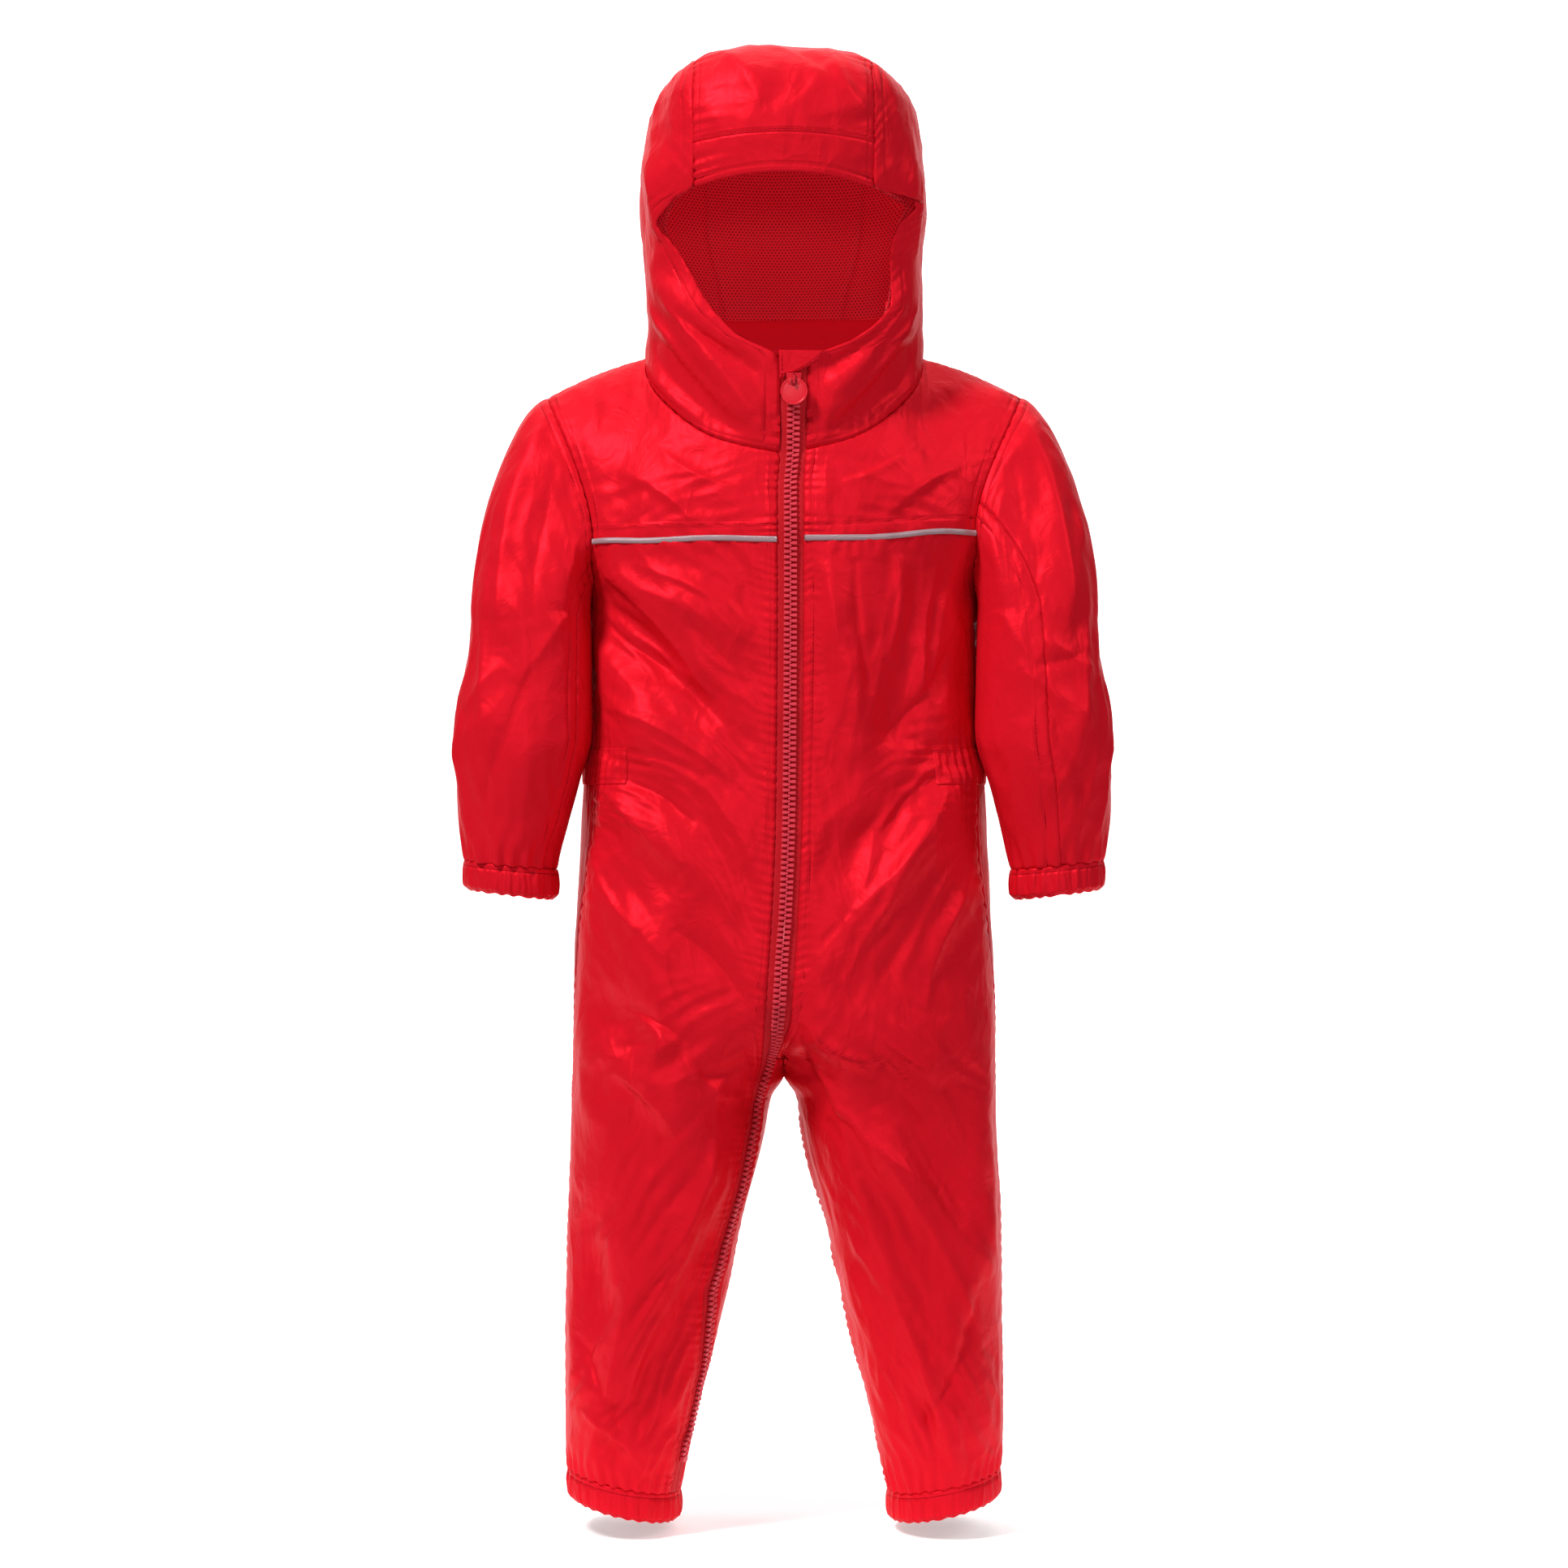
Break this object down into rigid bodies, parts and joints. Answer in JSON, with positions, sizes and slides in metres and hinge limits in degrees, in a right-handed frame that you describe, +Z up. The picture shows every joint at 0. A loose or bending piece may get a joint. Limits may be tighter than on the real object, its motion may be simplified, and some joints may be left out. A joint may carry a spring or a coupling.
{
  "type": "hooded puddle suit",
  "caption": "One-piece waterproof suit for a toddler, filled out as worn: hood with a peak and mesh lining, zip down one leg, elastic wrists, waist and ankles.",
  "frame": {"origin": "between the shoulders, level with the tops of the shoulder seams, where a wearer or a stand carries the suit", "axes": "+Z up, -Y the way the front faces, +X towards the wearer's left arm"},
  "size_m": [0.401, 0.2026, 0.9027],
  "materials": {
    "coated_cloth": "red coated taffeta with a soft sheen",
    "hood_mesh": "red warp-knit mesh",
    "reflective_piping": "grey reflective cord",
    "zip_tape": "red woven tape",
    "zip_teeth": "moulded plastic teeth, slider and stop",
    "zip_pull": "glossy red moulded pull"
  },
  "bodies": {
    "suit": {"ankle_hem_left": "coated_cloth", "ankle_hem_right": "coated_cloth", "back_left": "coated_cloth", "back_right": "coated_cloth", "chin_guard": "coated_cloth", "cuff_left": "coated_cloth", "cuff_right": "coated_cloth", "front_left": "coated_cloth", "front_right": "coated_cloth", "hood_centre": "coated_cloth", "hood_peak": "coated_cloth", "hood_side_left": "coated_cloth", "hood_side_right": "coated_cloth", "leg_inset_right": "coated_cloth", "lining_centre": "hood_mesh", "lining_left": "hood_mesh", "lining_right": "hood_mesh", "neck_facing": "coated_cloth", "piping_left": "reflective_piping", "piping_right": "reflective_piping", "sleeve_left": "coated_cloth", "sleeve_right": "coated_cloth", "waist_elastic_left": "coated_cloth", "waist_elastic_right": "coated_cloth", "yoke_left": "coated_cloth", "yoke_right": "coated_cloth", "zip_chain": "zip_teeth", "zip_slider": "zip_teeth", "zip_stop": "zip_teeth", "zip_tape_left": "zip_tape", "zip_tape_right": "zip_tape"},
    "pull_tab": {"zip_pull": "zip_pull"}
  },
  "joints": [
    {"name": "pull_swing", "type": "hinge", "parent": "suit", "child": "pull_tab", "pos_m": [0.0059, -0.07951, -0.0224], "axis": [-1, 0, 0], "range_deg": [0, 165]}
  ]
}
